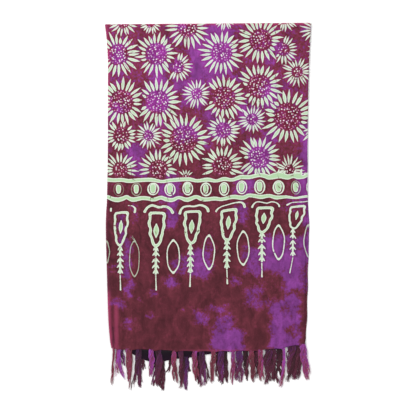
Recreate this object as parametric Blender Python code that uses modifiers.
"""A batik sarong, folded once along its length and once across it, lying flat.

The four layers lie on each other: the front one shows, and the three hidden ones share one
solid that is layered at its edges. Lengths are in metres. X runs to the right, Y towards the
fold at the top, and Z up from the surface that the cloth lies on. The lengthwise fold is at
the left, the two selvedges of each half are at the right, and the fringed ends are below.
"""

import math
import random
from collections import namedtuple

import bmesh
import bpy

COLLECTION_NAME = "batik_sarong"

# The cut panel, without its fringe
CUT_WIDTH = 1.12
CUT_LENGTH = 1.83
FOLDED_WIDTH = CUT_WIDTH / 2
FOLDED_LENGTH = CUT_LENGTH / 2

# Thicknesses and clearances of the folded stack
CLOTH_WALL = 0.0012
SEAM_GAP = 0.0003
FRONT_TOP = 0.0076
SIDE_FOLD_RADIUS = 0.0026
SIDE_FOLD_END = math.radians(108)
TOP_FOLD_RADIUS = 0.0038
TOP_FOLD_END = math.radians(150)

# How finely the front cloth is divided, with columns that crowd towards the side fold
FRONT_COLUMNS = 28
FRONT_ROWS = 30
FOLD_STEPS = 4
COLUMN_CROWDING = 1.35

# How far each side lies outside half the folded width, from the top fold (0) to the hem (1).
# The front cloth's selvedge lies inside the outermost layer by front_in.
Side = namedtuple("Side", "along left_out right_out front_in")
SIDES = (
    Side(0.000, 0.0070, 0.0080, 0.0004),
    Side(0.039, 0.0025, 0.0060, 0.0004),
    Side(0.116, -0.0017, 0.0025, 0.0004),
    Side(0.238, -0.0017, -0.0003, 0.0006),
    Side(0.390, -0.0017, -0.0017, 0.0008),
    Side(0.546, 0.0010, -0.0015, 0.0012),
    Side(0.619, 0.0040, 0.0025, 0.0080),
    Side(0.765, 0.0010, -0.0003, 0.0070),
    Side(0.908, -0.0030, -0.0030, 0.0060),
    Side(0.969, -0.0073, -0.0055, 0.0040),
    Side(1.000, -0.0150, -0.0060, 0.0020),
)

# How far each hem hangs below the folded length, from the left side (0) to the right one (1)
Hem = namedtuple("Hem", "across front back")
HEMS = (
    Hem(0.000, -0.0060, -0.0200),
    Hem(0.040, -0.0050, -0.0120),
    Hem(0.110, -0.0030, 0.0080),
    Hem(0.178, -0.0020, 0.0270),
    Hem(0.250, -0.0005, 0.0290),
    Hem(0.320, 0.0010, 0.0230),
    Hem(0.392, 0.0020, 0.0180),
    Hem(0.491, 0.0028, 0.0100),
    Hem(0.586, 0.0024, 0.0010),
    Hem(0.710, 0.0005, -0.0060),
    Hem(0.860, -0.0055, -0.0100),
    Hem(0.950, -0.0145, -0.0210),
    Hem(1.000, -0.0170, -0.0240),
)

# Largest soft folds of the front cloth: a ridge or, where height is negative, a trough.
# start and end are shares of the length from the top fold, x is at the end, lean is how far
# the fold has moved sideways at its start.
Fold = namedtuple("Fold", "x lean start end half_width height")
FOLDS = (
    Fold(-0.2690, -0.0030, 0.78, 1.08, 0.0080, 0.0019),
    Fold(-0.2500, 0.0060, 0.70, 1.08, 0.0090, 0.0021),
    Fold(-0.1000, 0.0300, 0.62, 1.05, 0.0300, 0.0009),
    Fold(0.0450, -0.0250, 0.55, 1.05, 0.0330, 0.0010),
    Fold(0.1650, 0.0200, 0.72, 1.08, 0.0200, 0.0011),
    Fold(0.2350, -0.0150, 0.40, 1.06, 0.0220, 0.0010),
    Fold(-0.2300, 0.0200, -0.15, 0.45, 0.0300, 0.0008),
    Fold(0.1000, -0.0400, -0.20, 0.50, 0.0420, 0.0008),
    Fold(0.2600, -0.0120, -0.20, 0.30, 0.0180, 0.0012),
)
WAVE_HEIGHT = 0.0005
WAVE_ACROSS = 0.19
WAVE_ALONG = 0.31

# The hidden layers, from the surface up. back_hem is the share of the back hem's shape.
Layer = namedtuple("Layer", "low high left_in right_in top_in back_hem hem_in")
HIDDEN_LAYERS = (
    Layer(0.0000, 0.0018, 0.0012, 0.0004, 0.0045, 1.0, 0.0050),
    Layer(0.0021, 0.0038, 0.0004, 0.0000, 0.0045, 1.0, 0.0000),
    Layer(0.0042, 0.0060, 0.0030, 0.0022, 0.0045, 0.0, 0.0012),
)
EDGE_ROUNDING = 0.0010
EDGE_SHOULDER = 0.22
GROOVE_DEPTH = 0.0050
CORNER_RADIUS = 0.0070
CORNER_STEPS = 3
SIDE_STEPS = 18
TOP_STEPS = 8
HEM_STEPS = 20

# The fringe: warp yarns gathered in tassels
STRIP_WIDTH = 0.0030
STRIP_THICKNESS = 0.0012
STRIP_INSET = 0.0080
STRIP_END = 0.0010
STRAND_WIDTH = 0.0018
STRAND_PITCH = 0.0023
STRAND_TIP_WIDTH = 0.0011
STRAND_TIP_THICKNESS = 0.0006
STRAND_WAVE = 0.0012
FRINGE_REACH = 0.120
SHORTEST_STRAND = 0.84
SPREAD_AT_TIP = 0.0011

# One row for each tassel: the middle of its root, its length and its drift to the right
Tassel = namedtuple("Tassel", "x length drift")
FRONT_TASSELS = (
    Tassel(-0.2565, 0.106, 0.0020),
    Tassel(-0.2405, 0.076, 0.0010),
    Tassel(-0.2220, 0.096, 0.0060),
    Tassel(-0.1580, 0.082, -0.0060),
    Tassel(-0.0940, 0.093, 0.0010),
    Tassel(-0.0350, 0.088, 0.0040),
    Tassel(0.0180, 0.090, -0.0030),
    Tassel(0.0700, 0.096, 0.0020),
    Tassel(0.1210, 0.086, 0.0030),
    Tassel(0.1470, 0.088, -0.0020),
    Tassel(0.2120, 0.124, -0.0060),
    Tassel(0.2640, 0.094, 0.0070),
)
FRONT_TUCKED_TASSELS = (
    Tassel(-0.2330, 0.088, -0.0040),
    Tassel(-0.1910, 0.104, 0.0020),
    Tassel(-0.1370, 0.098, 0.0050),
    Tassel(-0.0740, 0.092, -0.0040),
    Tassel(-0.0150, 0.096, 0.0060),
    Tassel(0.0380, 0.090, 0.0030),
    Tassel(0.0910, 0.098, -0.0020),
    Tassel(0.1660, 0.088, 0.0020),
    Tassel(0.2330, 0.092, 0.0010),
)
BACK_TUCKED_TASSELS = (
    Tassel(-0.2130, 0.108, 0.0040),
    Tassel(-0.1730, 0.074, 0.0050),
    Tassel(-0.1280, 0.080, 0.0020),
    Tassel(-0.0630, 0.078, 0.0040),
    Tassel(-0.0020, 0.084, -0.0030),
    Tassel(0.0490, 0.096, 0.0040),
    Tassel(0.1070, 0.094, -0.0020),
    Tassel(0.1800, 0.090, 0.0010),
    Tassel(0.2520, 0.094, 0.0040),
)
BACK_TASSELS = (
    Tassel(-0.2440, 0.092, 0.0030),
    Tassel(-0.1880, 0.078, -0.0050),
    Tassel(-0.1450, 0.074, 0.0020),
    Tassel(-0.1080, 0.072, -0.0070),
    Tassel(-0.0830, 0.080, 0.0040),
    Tassel(-0.0220, 0.080, -0.0010),
    Tassel(0.0310, 0.086, 0.0030),
    Tassel(0.1320, 0.092, 0.0020),
    Tassel(0.1960, 0.092, 0.0010),
    Tassel(0.2410, 0.098, -0.0020),
)

# One row for each fringe: its height at the root and at the end of its reach
Fringe = namedtuple("Fringe", "name tassels strands steps root_z tip_z layer color seed")
FRINGES = (
    Fringe("fringe_front", FRONT_TASSELS, 6, 4, 0.0070, 0.0037, None, (0.25, 0.06, 0.12), 3),
    Fringe(
        "fringe_front_tucked", FRONT_TUCKED_TASSELS, 5, 3, 0.0051, 0.0028, 2, (0.10, 0.03, 0.12), 5
    ),
    Fringe(
        "fringe_back_tucked", BACK_TUCKED_TASSELS, 5, 3, 0.00295, 0.0019, 1, (0.05, 0.02, 0.06), 7
    ),
    Fringe("fringe_back", BACK_TASSELS, 5, 3, 0.0010, 0.0010, 0, (0.04, 0.015, 0.05), 11),
)

FRONT_COLOR = (0.16, 0.035, 0.07)
HIDDEN_COLOR = (0.09, 0.025, 0.06)
CLOTH_ROUGHNESS = 0.85


def curve_value(rows, column, at):
    """Read a column of a table on a smooth curve through its rows."""
    keys = [row[0] for row in rows]
    values = [getattr(row, column) for row in rows]
    at = min(max(at, keys[0]), keys[-1])
    i = 0
    while i < len(keys) - 2 and at > keys[i + 1]:
        i += 1
    slopes = []
    for j in (i, i + 1):
        before = max(j - 1, 0)
        after = min(j + 1, len(keys) - 1)
        slopes.append((values[after] - values[before]) / (keys[after] - keys[before]))
    span = keys[i + 1] - keys[i]
    t = (at - keys[i]) / span
    rise = 3 * t**2 - 2 * t**3
    start_pull = (t**3 - 2 * t**2 + t) * slopes[0] * span
    end_pull = (t**3 - t**2) * slopes[1] * span
    return values[i] + (values[i + 1] - values[i]) * rise + start_pull + end_pull


def fade(t):
    """Rise smoothly from 0 at t = 0 to 1 at t = 1."""
    t = min(max(t, 0.0), 1.0)
    return t * t * (3 - 2 * t)


def front_place(across, along):
    """Return x and y of the front cloth; along runs from the top fold (0) to the hem (1)."""
    left = -FOLDED_WIDTH / 2 - curve_value(SIDES, "left_out", along)
    right = FOLDED_WIDTH / 2 + curve_value(SIDES, "right_out", along)
    right -= curve_value(SIDES, "front_in", along)
    length = FOLDED_LENGTH + curve_value(HEMS, "front", across)
    return left + (right - left) * across, -along * length


def column_share(column):
    """Return how far across a column of the front cloth lies, from the side fold on."""
    start = SIDE_FOLD_RADIUS / FOLDED_WIDTH
    return start + (1 - start) * (max(column, 0) / FRONT_COLUMNS) ** COLUMN_CROWDING


def front_rise(x, along):
    """Return how far the soft folds lift the front cloth there."""
    wave = math.sin(x / WAVE_ACROSS * math.tau + along * 2.1)
    wave *= math.sin(along * FOLDED_LENGTH / WAVE_ALONG * math.tau + x * 7)
    rise = WAVE_HEIGHT * (1 + wave) / 2
    for fold in FOLDS:
        if not fold.start < along < fold.end:
            continue
        share = (along - fold.start) / (fold.end - fold.start)
        middle = fold.x + fold.lean * (1 - share)
        off = (x - middle) / fold.half_width
        rise += fold.height * math.sin(share * math.pi) * math.exp(-off * off)
    return rise


def fold_round(side_turn, top_turn):
    """Return how far a point on a fold's round lies to the left, up and down from its start.

    The turns run from 0, where the cloth leaves the flat, to 1, where its wall ends below. Where
    the two folds meet, the round swings from the side fold's size to the top fold's.
    """
    heading = math.atan2(top_turn, side_turn) / (math.pi / 2)
    radius = SIDE_FOLD_RADIUS + (TOP_FOLD_RADIUS - SIDE_FOLD_RADIUS) * heading
    end = SIDE_FOLD_END + (TOP_FOLD_END - SIDE_FOLD_END) * heading
    angle = end * max(side_turn, top_turn)
    out = radius * math.sin(angle)
    turn = heading * math.pi / 2
    return out * math.cos(turn), out * math.sin(turn), radius * (1 - math.cos(angle))


def new_object(name, mesh, color):
    """Link a mesh as one named piece with its own material."""
    material = bpy.data.materials.new(name + "_dyed")
    material.use_nodes = True
    shader = material.node_tree.nodes["Principled BSDF"]
    shader.inputs["Base Color"].default_value = (*color, 1.0)
    shader.inputs["Roughness"].default_value = CLOTH_ROUGHNESS
    shader.inputs["Metallic"].default_value = 0.0
    mesh.materials.append(material)
    mesh.shade_smooth()
    piece = bpy.data.objects.new(name, mesh)
    bpy.data.collections[COLLECTION_NAME].objects.link(piece)
    return piece


def make_front_cloth():
    """The layer that shows: a wall that turns down round the left fold and the top fold."""
    columns = FOLD_STEPS + FRONT_COLUMNS
    rows = FRONT_ROWS + FOLD_STEPS
    mesh = bpy.data.meshes.new("front_cloth")
    grid = bmesh.new()
    bmesh.ops.create_grid(grid, x_segments=columns, y_segments=rows, size=0.5)
    top_share = TOP_FOLD_RADIUS / FOLDED_LENGTH
    for vertex in grid.verts:
        column = round((vertex.co.x + 0.5) * columns)
        row = round((vertex.co.y + 0.5) * rows)
        side_turn = max(FOLD_STEPS - column, 0) / FOLD_STEPS
        top_turn = max(row - FRONT_ROWS, 0) / FOLD_STEPS
        along = 1 - (1 - top_share) * min(row, FRONT_ROWS) / FRONT_ROWS
        x, y = front_place(column_share(column - FOLD_STEPS), along)
        rise = front_rise(x, along)
        if side_turn or top_turn:
            left, up, drop = fold_round(side_turn, top_turn)
            rise *= 1 - fade(drop / SIDE_FOLD_RADIUS)
            vertex.co = (x - left, y + up, FRONT_TOP + rise - drop)
        else:
            vertex.co = (x, y, FRONT_TOP + rise)
    grid.to_mesh(mesh)
    grid.free()
    piece = new_object("front_cloth", mesh, FRONT_COLOR)
    wall = piece.modifiers.new("cloth wall", "SOLIDIFY")
    wall.thickness = CLOTH_WALL
    wall.offset = -1.0


def hidden_place(layer, across, along):
    """Return x and y of a hidden layer's outline."""
    left = -FOLDED_WIDTH / 2 - curve_value(SIDES, "left_out", along) + layer.left_in
    right = FOLDED_WIDTH / 2 + curve_value(SIDES, "right_out", along) - layer.right_in
    front_hem = curve_value(HEMS, "front", across)
    back_hem = curve_value(HEMS, "back", across)
    hem = front_hem + (back_hem - front_hem) * layer.back_hem - layer.hem_in
    start = layer.top_in
    return left + (right - left) * across, -start - along * (FOLDED_LENGTH + hem - start)


def outline_steps():
    """Walk once round the cloth, to the left, in shares across and along, corners rounded."""
    wide = CORNER_RADIUS / FOLDED_WIDTH
    tall = CORNER_RADIUS / FOLDED_LENGTH
    corners = ((1 - wide, tall, 0), (wide, tall, 90), (wide, 1 - tall, 180), (1 - wide, 1 - tall, 270))
    counts = (TOP_STEPS, SIDE_STEPS, HEM_STEPS, SIDE_STEPS)
    steps = []
    for corner, (across, along, start) in enumerate(corners):
        for i in range(CORNER_STEPS + 1):
            angle = math.radians(start + 90 * i / CORNER_STEPS)
            steps.append((across + wide * math.cos(angle), along - tall * math.sin(angle)))
        first = steps[-1]
        after = corners[(corner + 1) % len(corners)]
        turn = math.radians(after[2])
        last = (after[0] + wide * math.cos(turn), after[1] - tall * math.sin(turn))
        for i in range(1, counts[corner]):
            share = i / counts[corner]
            if corner % 2:
                share = (1 - math.cos(share * math.pi)) / 2
            steps.append(tuple(a + (b - a) * share for a, b in zip(first, last)))
    return steps


def inset(x, y, depth, middle_y):
    """Move a point of the outline inwards on each axis."""
    half_length = FOLDED_LENGTH / 2
    return x * (1 - depth / (FOLDED_WIDTH / 2)), middle_y + (y - middle_y) * (1 - depth / half_length)


def hidden_rings(steps):
    """List the rings of the hidden layers from the surface up, each with its height."""
    middle_y = -FOLDED_LENGTH / 2
    shoulder = ((0.0, EDGE_ROUNDING), (EDGE_SHOULDER, 0.0), (1 - EDGE_SHOULDER, 0.0), (1.0, EDGE_ROUNDING))
    rings = []
    for number, layer in enumerate(HIDDEN_LAYERS):
        outline = [hidden_place(layer, across, along) for across, along in steps]
        if number:
            below = [hidden_place(HIDDEN_LAYERS[number - 1], *step) for step in steps]
            groove = []
            for (x, y), (below_x, below_y) in zip(outline, below):
                inner_x = min(x, below_x, key=abs)
                inner_y = min(y, below_y, key=lambda value: abs(value - middle_y))
                groove.append(inset(inner_x, inner_y, GROOVE_DEPTH, middle_y))
            rings.append(((HIDDEN_LAYERS[number - 1].high + layer.low) / 2, groove))
        for share, depth in shoulder:
            height = layer.low + (layer.high - layer.low) * share
            rings.append((height, [inset(x, y, depth, middle_y) for x, y in outline]))
    return rings


def make_folded_layers():
    """The three layers beneath the front one, as one solid with a groove between each two."""
    mesh = bpy.data.meshes.new("folded_layers")
    solid = bmesh.new()
    loops = []
    for height, points in hidden_rings(outline_steps()):
        loops.append([solid.verts.new((x, y, height)) for x, y in points])
    count = len(loops[0])
    solid.faces.new(list(reversed(loops[0])))
    solid.faces.new(loops[-1])
    for lower, upper in zip(loops, loops[1:]):
        for i in range(count):
            j = (i + 1) % count
            solid.faces.new((lower[i], lower[j], upper[j], upper[i]))
    bmesh.ops.recalc_face_normals(solid, faces=solid.faces)
    solid.to_mesh(mesh)
    solid.free()
    new_object("folded_layers", mesh, HIDDEN_COLOR)


def polyline_y(points, x):
    """Read y on a line through points that are sorted by x."""
    for (x0, y0), (x1, y1) in zip(points, points[1:]):
        if x <= x1:
            return y0 + (y1 - y0) * (x - x0) / (x1 - x0)
    return points[-1][1]


def hem_points(fringe):
    """List the corners of the hem that a fringe hangs from, from left to right."""
    if fringe.layer is None:
        return [front_place(column_share(i), 1.0) for i in range(FRONT_COLUMNS + 1)]
    layer = HIDDEN_LAYERS[fringe.layer]
    corner = CORNER_RADIUS / FOLDED_WIDTH
    straight = (1 - 2 * corner) / HEM_STEPS
    return [hidden_place(layer, corner + straight * i, 1.0) for i in range(HEM_STEPS + 1)]


def strand_columns(fringe):
    """List the left and right side of each strand's root, with its tassel's row."""
    columns = []
    for tassel in fringe.tassels:
        for i in range(fringe.strands):
            off = (i - (fringe.strands - 1) / 2) * STRAND_PITCH
            middle = tassel.x + off
            columns.append((middle - STRAND_WIDTH / 2, middle + STRAND_WIDTH / 2, tassel, off))
    return columns


def bare_corners(fringe, hem, start, end):
    """List the corners of the hem that lie between two tassels."""
    reach = fringe.strands * STRAND_PITCH / 2 + STRIP_END
    found = []
    for x, _ in hem:
        if start < x < end and all(abs(x - tassel.x) > reach for tassel in fringe.tassels):
            found.append(x)
    return found


def band_height(fringe, y):
    """Return the height of a fringe's middle: it sinks towards the surface as it hangs out."""
    out = min(max((-y - FOLDED_LENGTH) / FRINGE_REACH, 0.0), 1.0)
    return fringe.root_z + (fringe.tip_z - fringe.root_z) * out * out


def grow_strand(solid, face, fringe, root, chance):
    """Draw one strand out of its root face, ring by ring."""
    x_left, x_right, tassel, off = root
    root_x = (x_left + x_right) / 2
    root_y = sum(vertex.co.y for vertex in face.verts) / len(face.verts)
    tip_spread = off / STRAND_PITCH * SPREAD_AT_TIP + chance.uniform(-0.0004, 0.0004)
    length = tassel.length * chance.uniform(SHORTEST_STRAND, 1.0)
    phase = tassel.x * 90
    for step in range(1, fringe.steps + 1):
        share = step / fringe.steps
        drawn = bmesh.ops.extrude_discrete_faces(solid, faces=[face])["faces"]
        face = drawn[0]
        sway = STRAND_WAVE * (math.sin(phase + share * 5) - math.sin(phase))
        x = root_x + tip_spread * share + tassel.drift * share * share + sway
        y = root_y - length * share
        half_width = (STRAND_WIDTH + (STRAND_TIP_WIDTH - STRAND_WIDTH) * share) / 2
        half_height = (STRIP_THICKNESS + (STRAND_TIP_THICKNESS - STRIP_THICKNESS) * share) / 2
        z = band_height(fringe, y)
        middle_z = sum(vertex.co.z for vertex in face.verts) / len(face.verts)
        middle_x = sum(vertex.co.x for vertex in face.verts) / len(face.verts)
        for vertex in face.verts:
            side = 1 if vertex.co.x > middle_x else -1
            above = 1 if vertex.co.z > middle_z else -1
            vertex.co = (x + side * half_width, y, z + above * half_height)


def make_fringe(fringe):
    """One run of fringe: a narrow strip along the hem with the strands of each tassel."""
    chance = random.Random(fringe.seed)
    hem = hem_points(fringe)
    roots = strand_columns(fringe)
    start = min(hem[0][0] + STRIP_INSET, roots[0][0] - STRIP_END)
    end = max(hem[-1][0] - STRIP_INSET, roots[-1][1] + STRIP_END)
    sides = [start, end, *bare_corners(fringe, hem, start, end)]
    sides.extend(x for root in roots for x in root[:2])
    sides.sort()
    root_of = {root[0]: root for root in roots}
    mesh = bpy.data.meshes.new(fringe.name)
    solid = bmesh.new()
    columns = []
    for x in sides:
        top_y = polyline_y(hem, x) - SEAM_GAP
        low = fringe.root_z - STRIP_THICKNESS / 2
        high = fringe.root_z + STRIP_THICKNESS / 2
        corners = ((top_y, low), (top_y, high), (top_y - STRIP_WIDTH, high), (top_y - STRIP_WIDTH, low))
        columns.append([solid.verts.new((x, y, z)) for y, z in corners])
    solid.faces.new(columns[0])
    solid.faces.new(list(reversed(columns[-1])))
    root_faces = []
    for x, near, far in zip(sides, columns, columns[1:]):
        for i in range(4):
            j = (i + 1) % 4
            face = solid.faces.new((near[i], far[i], far[j], near[j]))
            if i == 2 and x in root_of:
                root_faces.append((face, root_of[x]))
    bmesh.ops.recalc_face_normals(solid, faces=solid.faces)
    for face, root in root_faces:
        grow_strand(solid, face, fringe, root, chance)
    solid.to_mesh(mesh)
    solid.free()
    new_object(fringe.name, mesh, fringe.color)


def centre_on_box():
    """Move every piece so that the origin is the middle of the underside of the whole."""
    bpy.context.view_layer.update()
    depsgraph = bpy.context.evaluated_depsgraph_get()
    lows = [math.inf] * 3
    highs = [-math.inf] * 3
    pieces = bpy.data.collections[COLLECTION_NAME].objects
    for piece in pieces:
        shape = piece.evaluated_get(depsgraph)
        for vertex in shape.data.vertices:
            for axis in range(3):
                lows[axis] = min(lows[axis], vertex.co[axis])
                highs[axis] = max(highs[axis], vertex.co[axis])
    for piece in pieces:
        piece.location = (-(lows[0] + highs[0]) / 2, -(lows[1] + highs[1]) / 2, -lows[2])


def main():
    for old in list(bpy.data.objects):
        bpy.data.objects.remove(old)
    collection = bpy.data.collections.new(COLLECTION_NAME)
    bpy.context.scene.collection.children.link(collection)
    make_front_cloth()
    make_folded_layers()
    for fringe in FRINGES:
        make_fringe(fringe)
    centre_on_box()


main()
